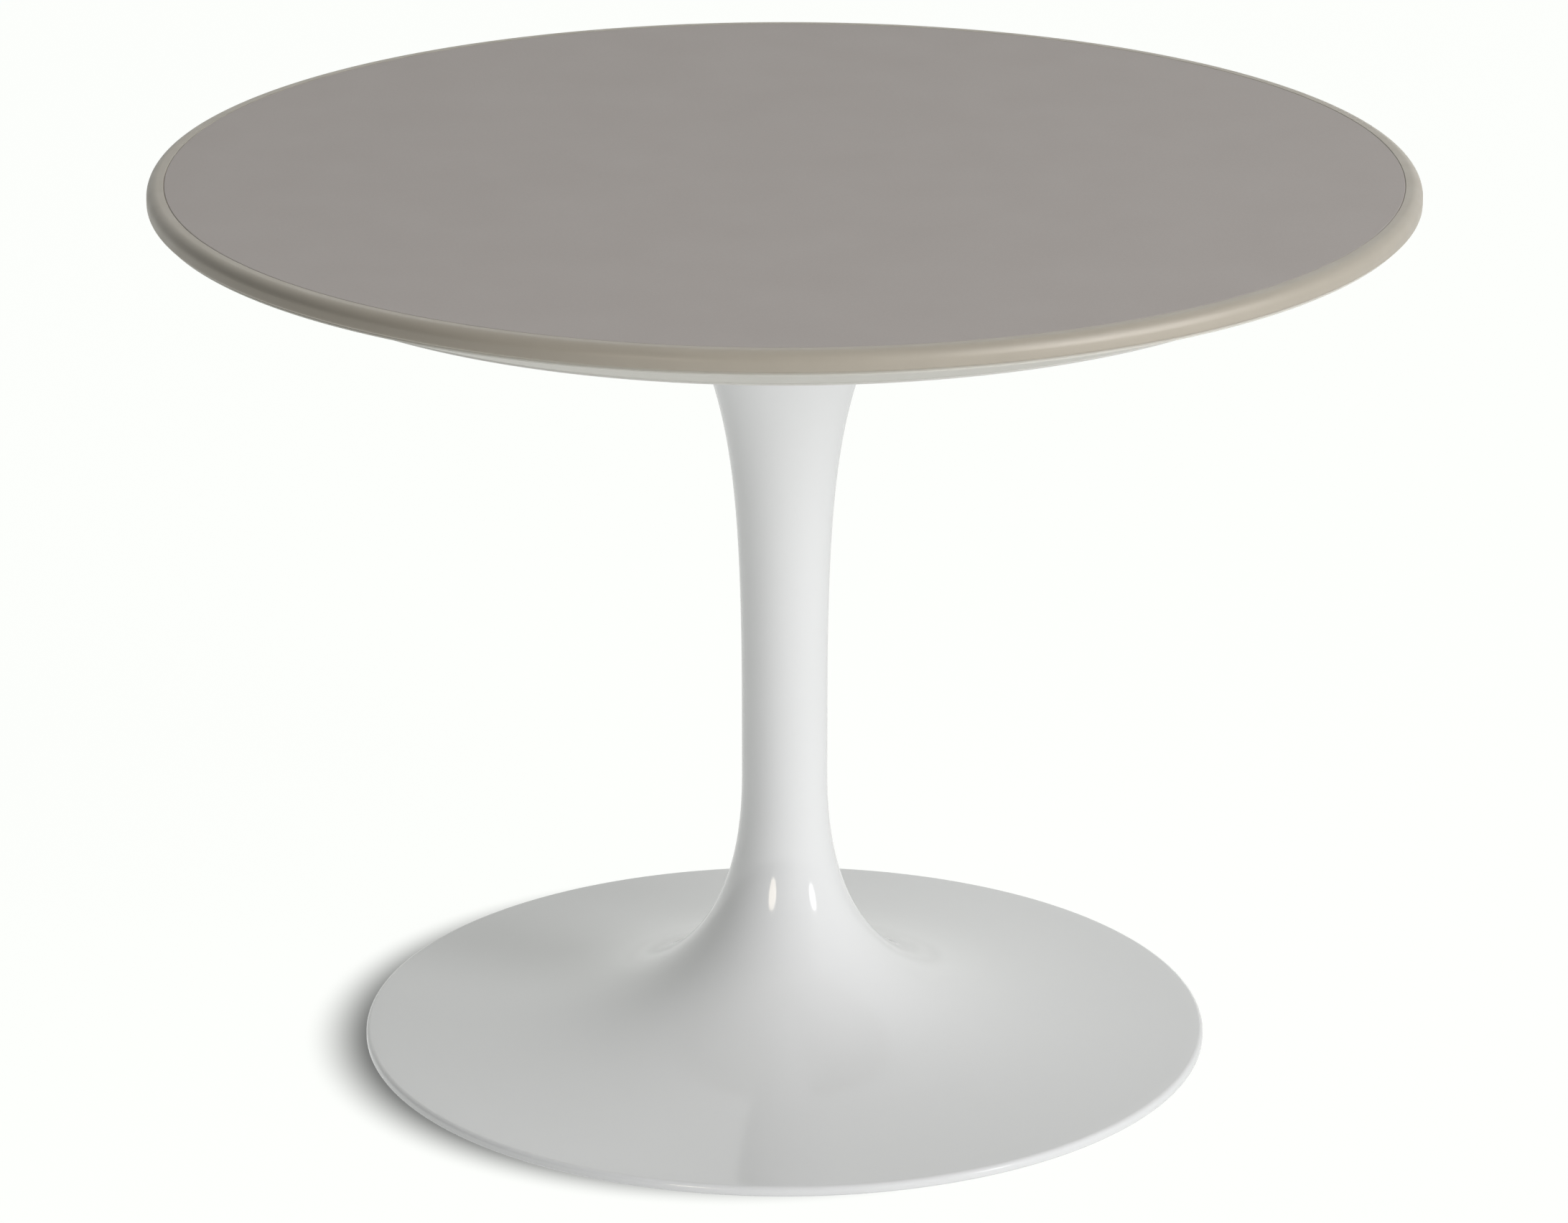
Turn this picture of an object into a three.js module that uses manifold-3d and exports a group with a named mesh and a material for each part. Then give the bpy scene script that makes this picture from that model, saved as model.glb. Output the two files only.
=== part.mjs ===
// Round pedestal table: a laminate-faced board with a moulded rim on a trumpet-shaped casting.
// A tie rod down the hollow stem draws the casting and a cast-iron weight up against a plate
// that is screwed under the board.
//
// Units are millimetres, +Z is up, and the origin is on the floor in the middle of the base.

import * as THREE from 'three';
import { mergeVertices } from 'three/addons/utils/BufferGeometryUtils.js';
import Module from 'manifold-3d';

const wasm = await Module();
wasm.setup();

// ---------------------------------------------------------------- driving dimensions

const HEIGHT = 437;
const TOP_RADIUS = 300;
const BASE_RADIUS = 206;

// The board and what is bonded to it.
const SHEET = 1; // thickness of the face sheet and of the backing sheet
const GLUE = 0.1; // bond line between a sheet, the rim and the board
const BAND_HEIGHT = 9.4;
const BAND_WIDTH = 8.2;
const BAND_ROUND = 5.2; // radius of the rim's upper edge
const BAND_FOOT_ROUND = 1.4; // radius of the rim's lower edge
const REBATE_LEAN = 0.6; // how far the board's edge leans in between the bevel and the rim
const BEVEL_TOP = 11; // depth below the surface at which the board's bevel starts
const BEVEL_INSET = 2.4; // how far the bevel starts inside the rim
const UNDERSIDE_RADIUS = 255; // where the bevel ends and the flat underside begins
const TOP_THICKNESS = 28.5;

// The pedestal's outer curve.
const WAIST_RADIUS = 20.8;
const WAIST_LOW = 134;
const WAIST_HIGH = 170;
const HEAD_RADIUS = 64;
const NECK_RISE = 140; // how long the neck keeps upright before it opens
const NECK_PULL = 77.6;
const HEAD_LEAN = 0.463; // angle between the neck's wall and the vertical at the head, in radians
const FLARE_DROP = 106; // how long the stem keeps upright before it spreads
const FLARE_PULL = 122.7;
const WALL = 4.5;
const NECK_HOLLOW_END = 0.97; // share of the neck's curve that the hollow follows

// The base's rim and underside.
const RIM_TOP = 5.5;
const RIM_ROUND = 2.2;
const RIM_FOOT_ROUND = 1;
const RIM_CLEARANCE = 0.8; // the casting stands this far off the floor, on its glide ring
const RECESS_RADIUS = 142; // inside this the casting is hollow
const GLIDE_MID = 198;
const GLIDE_WIDTH = 4;
const GLIDE_HEIGHT = 2;
const GLIDE_CHAMFER = 0.5;
const COVER_BOTTOM = 1.4;
const COVER_THICKNESS = 1.6;

// Steelwork.
const PLATE_RADIUS = 92;
const PLATE_THICKNESS = 4;
const PLATE_CHAMFER = 1;
const BOSS_RADIUS = 15;
const BOSS_DEPTH = 16;
const BOSS_CHAMFER = 1.5;
const GASKET = 1.2;
const ROD_RADIUS = 5;
const ROD_BOTTOM = 6.5;
const ROD_ABOVE_PLATE = 4;
const ROD_CHAMFER = 1;
const POCKET_SIDE = 2; // room round the rod's end in the board
const POCKET_END = 3; // and above it
const NUT_FLATS = 17;
const NUT_HEIGHT = 8;
const WASHER_RADIUS = 15;
const WASHER_THICKNESS = 2;
const LOCK_RADIUS = 9;
const LOCK_THICKNESS = 2.2;
const LOCK_SPLIT = 0.12; // half the lock washer's cut, in radians
const CLAMP_RADIUS = 34;
const CLAMP_THICKNESS = 6;

// The weight inside the flare.
const BALLAST_RADIUS = 118;
const BALLAST_BORE = 24;
const BALLAST_TOP = 40;
const BALLAST_SHOULDER = 26; // height of the ledge that the clamp plate pulls on

// Screws.
const PLATE_SCREWS = 6;
const PLATE_SCREW_CIRCLE = 78;
const COVER_SCREWS = 4;
const COVER_SCREW_CIRCLE = 80;
const SCREW_HEAD_EDGE = 0.4; // straight edge of a screw's head
const SCREW_POINT = 0.35; // width of a screw's point, as a share of its shank
const PLATE_SCREW_SINK = 0.2; // how deep the heads lie in the plate
const COVER_SCREW_SINK = 0.1; // and in the cover

const GAP = 0.3; // clearance between neighbouring pieces
const OVERCUT = 1; // how far a cutting tool runs past the face that it opens

// Fineness of the facets.
const ROUND = 64; // sides of the large turned pieces
const SMALL_ROUND = 24; // sides of the rod, the boss and the washers
const SCREW_ROUND = 12; // sides of the screws and their holes
const FLARE_STEPS = 14;
const NECK_STEPS = 9;
const FLARE_HOLLOW_STEPS = 6;
const NECK_HOLLOW_STEPS = 4;

// ---------------------------------------------------------------- materials

const finish = (color, roughness, metalness = 0) =>
  new THREE.MeshStandardMaterial({ color, roughness, metalness });

const faceLaminate = finish(0x9a9591, 0.62);
const rimPlastic = finish(0xa39d91, 0.38);
const boardLacquer = finish(0xbdbbb5, 0.4);
const backingLaminate = finish(0xb9b7b1, 0.6);
const whiteLacquer = finish(0xdcdddc, 0.14);
const whitePowder = finish(0xcfd0cf, 0.45);
const zincSteel = finish(0xaab0b4, 0.35, 1);
const castIron = finish(0x4c4d4e, 0.7, 0.6);
const blackRubber = finish(0x1c1c1d, 0.8);
const blackPlastic = finish(0x242526, 0.6);
const clearNylon = finish(0x8d8f90, 0.5);

// ---------------------------------------------------------------- shape helpers

const point = (r, z) => new THREE.Vector2(r, z);

// Points of a quarter round from angle `from` to angle `to`, in degrees.
function arc(centreR, centreZ, radius, from, to, steps) {
  const points = [];
  for (let i = 0; i <= steps; i += 1) {
    const angle = THREE.MathUtils.degToRad(from + ((to - from) * i) / steps);
    points.push(point(centreR + radius * Math.cos(angle), centreZ + radius * Math.sin(angle)));
  }
  return points;
}

// Turns a profile about the Z axis. The profile is walked with the material on its left. A ring's
// profile is closed here; a disc's starts and ends on the axis.
function turn(profile, sides = ROUND) {
  const onAxis = profile[0].x === 0;
  const outline = onAxis ? profile : [...profile, profile[0].clone()];
  return new THREE.LatheGeometry(outline, sides).rotateX(Math.PI / 2);
}

// A plain ring or, with no bore, a plain disc.
function ring(outer, bottom, top, bore = 0, sides = ROUND) {
  return turn([point(bore, bottom), point(outer, bottom), point(outer, top), point(bore, top)], sides);
}

function solid(geometry) {
  const plain = geometry.clone();
  plain.deleteAttribute('normal');
  plain.deleteAttribute('uv');
  const merged = mergeVertices(plain, 1e-4);
  return new wasm.Manifold(
    new wasm.Mesh({
      numProp: 3,
      vertProperties: new Float32Array(merged.attributes.position.array),
      triVerts: new Uint32Array(merged.index.array),
    }),
  );
}

// Cuts each tool out of the body.
function cut(body, tools) {
  let result = solid(body);
  for (const tool of tools) {
    result = result.subtract(solid(tool));
  }
  const mesh = result.getMesh();
  const geometry = new THREE.BufferGeometry();
  geometry.setAttribute('position', new THREE.BufferAttribute(mesh.vertProperties, 3));
  geometry.setIndex(new THREE.BufferAttribute(mesh.triVerts, 1));
  geometry.computeVertexNormals();
  return geometry;
}

// The places of `count` fasteners on a circle, the first half a step from +X.
function boltCircle(count, radius) {
  return Array.from({ length: count }, (_, i) => {
    const angle = ((i + 0.5) * 2 * Math.PI) / count;
    return { x: radius * Math.cos(angle), y: radius * Math.sin(angle) };
  });
}

const table = new THREE.Group();

function add(name, geometry, material) {
  const mesh = new THREE.Mesh(geometry, material);
  mesh.name = name;
  table.add(mesh);
  return mesh;
}

// ---------------------------------------------------------------- levels worked out from the above

const undersideZ = HEIGHT - TOP_THICKNESS;
const boardBottom = undersideZ + SHEET + GLUE;
const boardTop = HEIGHT - SHEET - GLUE;
const plateTop = undersideZ - GLUE;
const plateBottom = plateTop - PLATE_THICKNESS;
const headTop = plateBottom - GASKET - 2 * GLUE;
const clampTop = BALLAST_SHOULDER - GLUE;
const clampBottom = clampTop - CLAMP_THICKNESS;
const washerTop = clampBottom - GLUE;
const lockTop = washerTop - WASHER_THICKNESS - GLUE;
const nutTop = lockTop - LOCK_THICKNESS - GLUE;

// ---------------------------------------------------------------- screws

// A countersunk screw standing head down: the head's flat face is at z = 0 and the shank points
// up. The socket is a hexagon.
function countersunk({ headRadius, shankRadius, length, tip, socketFlats, socketDepth }) {
  const headDepth = SCREW_HEAD_EDGE + headRadius - shankRadius;
  const blank = turn(
    [
      point(0, 0),
      point(headRadius, 0),
      point(headRadius, SCREW_HEAD_EDGE),
      point(shankRadius, headDepth),
      point(shankRadius, length - tip),
      point(shankRadius * SCREW_POINT, length),
      point(0, length),
    ],
    SCREW_ROUND,
  );
  const socket = new THREE.CylinderGeometry(
    socketFlats / Math.sqrt(3),
    socketFlats / Math.sqrt(3),
    2 * socketDepth,
    6,
  ).rotateX(Math.PI / 2);
  return cut(blank, [socket]);
}

// The clearance hole for such a screw, a little larger all round, from just below the head.
function countersunkHole({ headRadius, shankRadius, length }) {
  const shoulder = headRadius + GAP;
  const hole = shankRadius + GAP;
  return turn(
    [
      point(0, -OVERCUT),
      point(shoulder, -OVERCUT),
      point(shoulder, SCREW_HEAD_EDGE),
      point(hole, SCREW_HEAD_EDGE + shoulder - hole),
      point(hole, length + GAP),
      point(0, length + GAP),
    ],
    SCREW_ROUND,
  );
}

const plateScrew = {
  headRadius: 4.8,
  shankRadius: 2.3,
  length: 21,
  tip: 3,
  socketFlats: 3,
  socketDepth: 1.8,
};
const coverScrew = {
  headRadius: 3.6,
  shankRadius: 1.9,
  length: 9,
  tip: 1,
  socketFlats: 2.5,
  socketDepth: 1.3,
};

const plateScrewPlaces = boltCircle(PLATE_SCREWS, PLATE_SCREW_CIRCLE);
const coverScrewPlaces = boltCircle(COVER_SCREWS, COVER_SCREW_CIRCLE);
const plateScrewBottom = plateBottom + PLATE_SCREW_SINK;
const coverScrewBottom = COVER_BOTTOM + COVER_SCREW_SINK;

const plateScrewHoles = plateScrewPlaces.map(({ x, y }) =>
  countersunkHole(plateScrew).translate(x, y, plateScrewBottom),
);
const coverScrewHoles = coverScrewPlaces.map(({ x, y }) =>
  countersunkHole(coverScrew).translate(x, y, coverScrewBottom),
);

// ---------------------------------------------------------------- the top

// Face sheet: high-pressure laminate, let in flush inside the rim.
const bandBore = TOP_RADIUS - BAND_WIDTH;
add('top_laminate', ring(bandBore - GLUE, HEIGHT - SHEET, HEIGHT), faceLaminate);

// Moulded rim: a large round above, a small one below.
const bandBottom = HEIGHT - BAND_HEIGHT;
add(
  'edge_band',
  turn([
    point(bandBore, bandBottom),
    ...arc(TOP_RADIUS - BAND_FOOT_ROUND, bandBottom + BAND_FOOT_ROUND, BAND_FOOT_ROUND, -90, 0, 2),
    ...arc(TOP_RADIUS - BAND_ROUND, HEIGHT - BAND_ROUND, BAND_ROUND, 0, 90, 5),
    point(bandBore, HEIGHT),
  ]),
  rimPlastic,
);

// Board: rebated at the edge for the rim and bevelled below, with a pocket for the rod's end.
const rodPocket = ring(
  ROD_RADIUS + POCKET_SIDE,
  undersideZ - OVERCUT,
  plateTop + ROD_ABOVE_PLATE + POCKET_END,
  0,
  SMALL_ROUND,
);
const bevelStart = HEIGHT - BEVEL_TOP;
const board = turn([
  point(0, boardBottom),
  point(UNDERSIDE_RADIUS, boardBottom),
  point(TOP_RADIUS - BEVEL_INSET, bevelStart),
  point(TOP_RADIUS - BEVEL_INSET - REBATE_LEAN, bandBottom - GLUE),
  point(bandBore - GLUE, bandBottom - GLUE),
  point(bandBore - GLUE, boardTop),
  point(0, boardTop),
]);
add('top_core', cut(board, [...plateScrewHoles, rodPocket]), boardLacquer);

// Backing sheet: balances the face sheet so that the board stays flat.
const backing = ring(UNDERSIDE_RADIUS - GAP, undersideZ, undersideZ + SHEET);
add('backing_sheet', cut(backing, [...plateScrewHoles, rodPocket]), backingLaminate);

// ---------------------------------------------------------------- plate under the board

const plateBlank = turn([
  point(ROD_RADIUS + GAP, plateBottom),
  point(PLATE_RADIUS - PLATE_CHAMFER, plateBottom),
  point(PLATE_RADIUS, plateBottom + PLATE_CHAMFER),
  point(PLATE_RADIUS, plateTop),
  point(ROD_RADIUS + GAP, plateTop),
]);
add('mounting_plate', cut(plateBlank, plateScrewHoles), whitePowder);

// Threaded boss, welded under the plate, that the rod screws into.
const bossTop = plateBottom - GLUE;
add(
  'rod_boss',
  turn([
    point(ROD_RADIUS + GAP, bossTop - BOSS_DEPTH),
    point(BOSS_RADIUS - BOSS_CHAMFER, bossTop - BOSS_DEPTH),
    point(BOSS_RADIUS, bossTop - BOSS_DEPTH + BOSS_CHAMFER),
    point(BOSS_RADIUS, bossTop),
    point(ROD_RADIUS + GAP, bossTop),
  ], SMALL_ROUND),
  zincSteel,
);

plateScrewPlaces.forEach(({ x, y }, i) => {
  const screw = add(`plate_screw_${i + 1}`, countersunk(plateScrew), zincSteel);
  screw.position.set(x, y, plateScrewBottom);
});

add(
  'stem_gasket',
  ring(HEAD_RADIUS - 1, headTop + GLUE, headTop + GLUE + GASKET, HEAD_RADIUS - WALL),
  blackRubber,
);

// ---------------------------------------------------------------- pedestal

// The flare runs from the rim of the base up to the waist, the neck from the waist to the head.
const flare = new THREE.CubicBezierCurve(
  point(BASE_RADIUS - RIM_ROUND, RIM_TOP),
  point(BASE_RADIUS - RIM_ROUND - FLARE_PULL, RIM_TOP),
  point(WAIST_RADIUS, WAIST_LOW - FLARE_DROP),
  point(WAIST_RADIUS, WAIST_LOW),
);
const neck = new THREE.CubicBezierCurve(
  point(WAIST_RADIUS, WAIST_HIGH),
  point(WAIST_RADIUS, WAIST_HIGH + NECK_RISE),
  point(HEAD_RADIUS - NECK_PULL * Math.sin(HEAD_LEAN), headTop - NECK_PULL * Math.cos(HEAD_LEAN)),
  point(HEAD_RADIUS, headTop),
);

// Points of the surface `depth` behind a stretch of such a curve, going up.
function behind(curve, depth, from, to, steps) {
  const points = [];
  for (let i = 0; i <= steps; i += 1) {
    const t = from + ((to - from) * i) / steps;
    const at = curve.getPoint(t);
    const along = curve.getTangent(t);
    points.push(point(at.x - along.y * depth, at.y + along.x * depth));
  }
  return points;
}

// Where the surface behind the flare passes a given radius.
function flareParameter(depth, radius) {
  let low = 0;
  let high = 1;
  for (let i = 0; i < 40; i += 1) {
    const middle = (low + high) / 2;
    const here = behind(flare, depth, middle, middle, 1)[0];
    if (here.x > radius) {
      low = middle;
    } else {
      high = middle;
    }
  }
  return low;
}

const glideInner = GLIDE_MID - GLIDE_WIDTH / 2;
const glideOuter = GLIDE_MID + GLIDE_WIDTH / 2;
const grooveTop = GLIDE_HEIGHT + GLUE;
const recessStart = flareParameter(WALL, RECESS_RADIUS);
const headWall = WALL / Math.cos(HEAD_LEAN);

const pedestalProfile = [
  point(glideOuter + GLUE, RIM_CLEARANCE),
  ...arc(BASE_RADIUS - RIM_FOOT_ROUND, RIM_CLEARANCE + RIM_FOOT_ROUND, RIM_FOOT_ROUND, -90, 0, 1),
  ...arc(BASE_RADIUS - RIM_ROUND, RIM_TOP - RIM_ROUND, RIM_ROUND, 0, 60, 2),
  ...flare.getPoints(FLARE_STEPS),
  ...neck.getPoints(NECK_STEPS),
  point(HEAD_RADIUS - headWall, headTop),
  ...behind(neck, WALL, 0, NECK_HOLLOW_END, NECK_HOLLOW_STEPS).reverse(),
  ...behind(flare, WALL, recessStart, 1, FLARE_HOLLOW_STEPS).reverse(),
  point(RECESS_RADIUS, RIM_CLEARANCE),
  point(glideInner - GLUE, RIM_CLEARANCE),
  point(glideInner - GLUE, grooveTop),
  point(glideOuter + GLUE, grooveTop),
];
add('pedestal', turn(pedestalProfile), whiteLacquer);

add(
  'glide_ring',
  turn([
    point(glideInner + GLIDE_CHAMFER, 0),
    point(glideOuter - GLIDE_CHAMFER, 0),
    point(glideOuter, GLIDE_CHAMFER),
    point(glideOuter, GLIDE_HEIGHT),
    point(glideInner, GLIDE_HEIGHT),
    point(glideInner, GLIDE_CHAMFER),
  ]),
  clearNylon,
);

// ---------------------------------------------------------------- clamp and weight in the base

// The weight's outside follows the inside of the flare.
const seat = WALL + GAP;
const seatTop = behind(flare, seat, 0, 1, 200).find(({ y }) => y > BALLAST_TOP).x;
const seatFrom = flareParameter(seat, BALLAST_RADIUS);
const seatTo = flareParameter(seat, seatTop);
const ballastBottom = COVER_BOTTOM + COVER_THICKNESS + 2 * GLUE;
const ballastBlank = turn([
  point(CLAMP_RADIUS + GAP, ballastBottom),
  point(BALLAST_RADIUS, ballastBottom),
  ...behind(flare, seat, seatFrom, seatTo, FLARE_HOLLOW_STEPS),
  point(BALLAST_BORE, BALLAST_TOP),
  point(BALLAST_BORE, BALLAST_SHOULDER),
  point(CLAMP_RADIUS + GAP, BALLAST_SHOULDER),
], ROUND / 2);
add('ballast_ring', cut(ballastBlank, coverScrewHoles), castIron);

add(
  'clamp_plate',
  ring(CLAMP_RADIUS, clampBottom, clampTop, ROD_RADIUS + GAP, ROUND / 2),
  zincSteel,
);

add(
  'clamp_washer',
  ring(WASHER_RADIUS, washerTop - WASHER_THICKNESS, washerTop, ROD_RADIUS + GAP, SMALL_ROUND),
  zincSteel,
);

// Split lock washer: a square-section coil with a narrow cut.
const lockOutline = new THREE.Shape();
lockOutline.absarc(0, 0, LOCK_RADIUS, LOCK_SPLIT, 2 * Math.PI - LOCK_SPLIT, false);
lockOutline.absarc(0, 0, ROD_RADIUS + GAP, 2 * Math.PI - LOCK_SPLIT, LOCK_SPLIT, true);
lockOutline.closePath();
const lock = new THREE.ExtrudeGeometry(lockOutline, {
  depth: LOCK_THICKNESS,
  bevelEnabled: false,
  curveSegments: SMALL_ROUND / 2,
});
add('spring_washer', lock.translate(0, 0, lockTop - LOCK_THICKNESS), zincSteel);

// Nut: a plain hexagon, flat on both faces.
const nutCorner = NUT_FLATS / Math.sqrt(3);
const nutHexagon = new THREE.CylinderGeometry(nutCorner, nutCorner, NUT_HEIGHT, 6)
  .rotateX(Math.PI / 2)
  .translate(0, 0, nutTop - NUT_HEIGHT / 2);
const nutBore = ring(
  ROD_RADIUS + GAP,
  nutTop - NUT_HEIGHT - OVERCUT,
  nutTop + OVERCUT,
  0,
  SMALL_ROUND,
);
add('clamp_nut', cut(nutHexagon, [nutBore]), zincSteel);

add(
  'tie_rod',
  turn([
    point(0, ROD_BOTTOM),
    point(ROD_RADIUS - ROD_CHAMFER, ROD_BOTTOM),
    point(ROD_RADIUS, ROD_BOTTOM + ROD_CHAMFER),
    point(ROD_RADIUS, plateTop + ROD_ABOVE_PLATE - ROD_CHAMFER),
    point(ROD_RADIUS - ROD_CHAMFER, plateTop + ROD_ABOVE_PLATE),
    point(0, plateTop + ROD_ABOVE_PLATE),
  ], SMALL_ROUND),
  zincSteel,
);

// ---------------------------------------------------------------- cover under the base

const coverBlank = ring(RECESS_RADIUS - GAP, COVER_BOTTOM, COVER_BOTTOM + COVER_THICKNESS);
add('base_cover', cut(coverBlank, coverScrewHoles), blackPlastic);

coverScrewPlaces.forEach(({ x, y }, i) => {
  const screw = add(`cover_screw_${i + 1}`, countersunk(coverScrew), zincSteel);
  screw.position.set(x, y, coverScrewBottom);
});

export default table;
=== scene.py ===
# A low round table: a laminate-faced board with a moulded rim, carried by a white trumpet-shaped
# casting. Each section below makes one piece of it, in the order in which the table is built, and
# the floor and the lights come last. Everything is in metres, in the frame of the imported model.
import math

import bmesh
import bpy
from mathutils import Matrix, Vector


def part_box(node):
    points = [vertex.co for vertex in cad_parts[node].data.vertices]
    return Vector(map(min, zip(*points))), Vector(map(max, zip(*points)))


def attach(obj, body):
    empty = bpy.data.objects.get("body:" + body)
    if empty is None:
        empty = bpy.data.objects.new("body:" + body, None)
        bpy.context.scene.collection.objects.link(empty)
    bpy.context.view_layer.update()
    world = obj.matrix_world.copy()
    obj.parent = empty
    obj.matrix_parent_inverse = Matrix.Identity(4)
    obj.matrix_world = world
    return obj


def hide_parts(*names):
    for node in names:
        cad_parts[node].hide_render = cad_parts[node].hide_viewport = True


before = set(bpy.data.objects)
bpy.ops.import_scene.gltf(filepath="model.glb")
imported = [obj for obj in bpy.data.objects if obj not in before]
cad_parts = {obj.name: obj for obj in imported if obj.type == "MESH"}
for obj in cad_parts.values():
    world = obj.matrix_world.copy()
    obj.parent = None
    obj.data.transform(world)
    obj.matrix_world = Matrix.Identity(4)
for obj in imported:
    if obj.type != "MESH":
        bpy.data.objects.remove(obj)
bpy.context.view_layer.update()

# ---------------------------------------------------------------- camera
# A long lens, well above the edge of the top and straight in front, looking down at the stem. It
# stands back and up by so many times the radius of the top.

LENS = 147.5
SIDE_STEP = -0.0003
RADII_BACK = 9.78
RADII_UP = 4.08
TILT_DOWN = 18.94

top_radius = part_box("edge_band")[1].x
camera = bpy.data.objects.new("camera", bpy.data.cameras.new("camera"))
bpy.context.scene.collection.objects.link(camera)
camera.data.sensor_width = 36.0
camera.data.lens = LENS
camera.data.clip_start = 0.1
camera.data.clip_end = 60.0
camera.location = (SIDE_STEP, -RADII_BACK * top_radius, RADII_UP * top_radius)
camera.rotation_euler = (math.radians(90.0 - TILT_DOWN), 0.0, 0.0)
bpy.context.scene.camera = camera

# ---------------------------------------------------------------- pedestal
# One hollow casting: a thin round base that sweeps up through a flare into a slim stem, and opens
# again under the top. It is ground smooth and sprayed with a gloss white lacquer.

WAIST_RADIUS = 0.0208
WAIST_LOW = 0.134
WAIST_HIGH = 0.170
NECK_RISE = 0.140
NECK_PULL = 0.0776
HEAD_LEAN = 0.463
FLARE_DROP = 0.106
FLARE_PULL = 0.1227
CASTING_WALL = 0.0045
RIM_TOP = 0.0055
RIM_ROUND = 0.0022
RECESS_RADIUS = 0.142
RECESS_DEPTH = 0.0028
FOOT_ROUND = 0.001
GASKET_INSET = 0.001
GLIDE_WIDTH = 0.004
CLOSE_FIT = 0.0001
MERGE_DISTANCE = 0.000001
LACQUER_WHITE = (0.78, 0.785, 0.79, 1.0)


def put(tree, kind, feeds=None, **settings):
    """Adds a node, with its settings, and feeds its inputs from sockets or plain values."""
    node = tree.nodes.new(kind)
    for setting, value in settings.items():
        setattr(node, setting, value)
    for socket, value in (feeds or {}).items():
        if isinstance(value, bpy.types.NodeSocket):
            tree.links.new(value, node.inputs[socket])
        else:
            node.inputs[socket].default_value = value
    return node


def new_finish(name, **values):
    """A material whose shader has these plain values; returns it, its tree and its shader."""
    material = bpy.data.materials.new(name)
    material.use_nodes = True
    shader = material.node_tree.nodes["Principled BSDF"]
    for socket, value in values.items():
        shader.inputs[socket.replace("_", " ")].default_value = value
    return material, material.node_tree, shader


def mottle(tree, scale, detail=2.0, squeeze=(1.0, 1.0, 1.0)):
    """Noise fixed to the piece: `scale` blobs to the metre, times the squeeze along each axis."""
    place = put(tree, "ShaderNodeTexCoord").outputs["Object"]
    mapped = put(tree, "ShaderNodeMapping", {"Vector": place, "Scale": squeeze}).outputs[0]
    noise = put(tree, "ShaderNodeTexNoise", {"Vector": mapped, "Scale": scale, "Detail": detail})
    return noise.outputs[0]


def vary_colour(tree, shader, height, colour, spread):
    """Lets the colour run a little darker and lighter along with a height."""
    dark = [c * (1.0 - spread) for c in colour[:3]] + [1.0]
    light = [min(1.0, c * (1.0 + spread)) for c in colour[:3]] + [1.0]
    mixed = put(tree, "ShaderNodeMix", data_type="RGBA")
    tree.links.new(height, mixed.inputs["Factor"])
    mixed.inputs[6].default_value = dark
    mixed.inputs[7].default_value = light
    tree.links.new(mixed.outputs[2], shader.inputs["Base Color"])


def vary_roughness(tree, shader, height, low, high):
    span = put(
        tree,
        "ShaderNodeMapRange",
        {"Value": height, "From Min": 0.3, "From Max": 0.7, "To Min": low, "To Max": high},
    )
    tree.links.new(span.outputs[0], shader.inputs["Roughness"])


def emboss(tree, shader, heights):
    """Bumps one over the other, each (height, relief in metres)."""
    normal = None
    for height, relief in heights:
        feeds = {"Height": height, "Strength": 1.0, "Distance": relief}
        if normal:
            feeds["Normal"] = normal
        normal = put(tree, "ShaderNodeBump", feeds).outputs[0]
    tree.links.new(normal, shader.inputs["Normal"])


def gloss_lacquer():
    """Sprayed white: sharp reflections over a faint orange peel, with a few duller patches."""
    material, tree, shader = new_finish("gloss_white_lacquer", IOR=1.5)
    vary_colour(tree, shader, mottle(tree, 9.0), LACQUER_WHITE, 0.01)
    vary_roughness(tree, shader, mottle(tree, 30.0, 4.0), 0.07, 0.11)
    emboss(tree, shader, [(mottle(tree, 14.0, 1.0), 0.00012), (mottle(tree, 260.0, 1.0), 0.000004)])
    return material


def maths(tree, operation, *values):
    return put(tree, "ShaderNodeMath", dict(enumerate(values)), operation=operation).outputs[0]


def new_tree(name, **sockets):
    """A Geometry Nodes tree with these named inputs; returns it and its input sockets."""
    tree = bpy.data.node_groups.new(name, "GeometryNodeTree")
    tree.is_modifier = True
    tree.interface.new_socket("Geometry", in_out="INPUT", socket_type="NodeSocketGeometry")
    for label, kind in {**sockets, "Crisp_Angle": "Float", "Finish": "Material"}.items():
        tree.interface.new_socket(
            label.replace("_", " "), in_out="INPUT", socket_type="NodeSocket" + kind
        )
    tree.interface.new_socket("Geometry", in_out="OUTPUT", socket_type="NodeSocketGeometry")
    return tree, put(tree, "NodeGroupInput").outputs


def end_tree(tree, geometry, given):
    """Keeps the edges sharper than the crisp angle, and gives the finish."""
    edge = put(tree, "GeometryNodeInputMeshEdgeAngle").outputs["Unsigned Angle"]
    is_round = put(
        tree, "FunctionNodeCompare", {0: edge, 1: given["Crisp Angle"]}, operation="LESS_THAN"
    )
    faces = put(tree, "GeometryNodeSetShadeSmooth", {"Geometry": geometry}, domain="FACE")
    edges = put(
        tree,
        "GeometryNodeSetShadeSmooth",
        {"Geometry": faces.outputs[0], "Shade Smooth": is_round.outputs[0]},
        domain="EDGE",
    )
    real = put(tree, "GeometryNodeRealizeInstances", {"Geometry": edges.outputs[0]})
    painted = put(
        tree,
        "GeometryNodeSetMaterial",
        {"Geometry": real.outputs[0], "Material": given["Finish"]},
    )
    put(tree, "NodeGroupOutput", {"Geometry": painted.outputs[0]})


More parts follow.
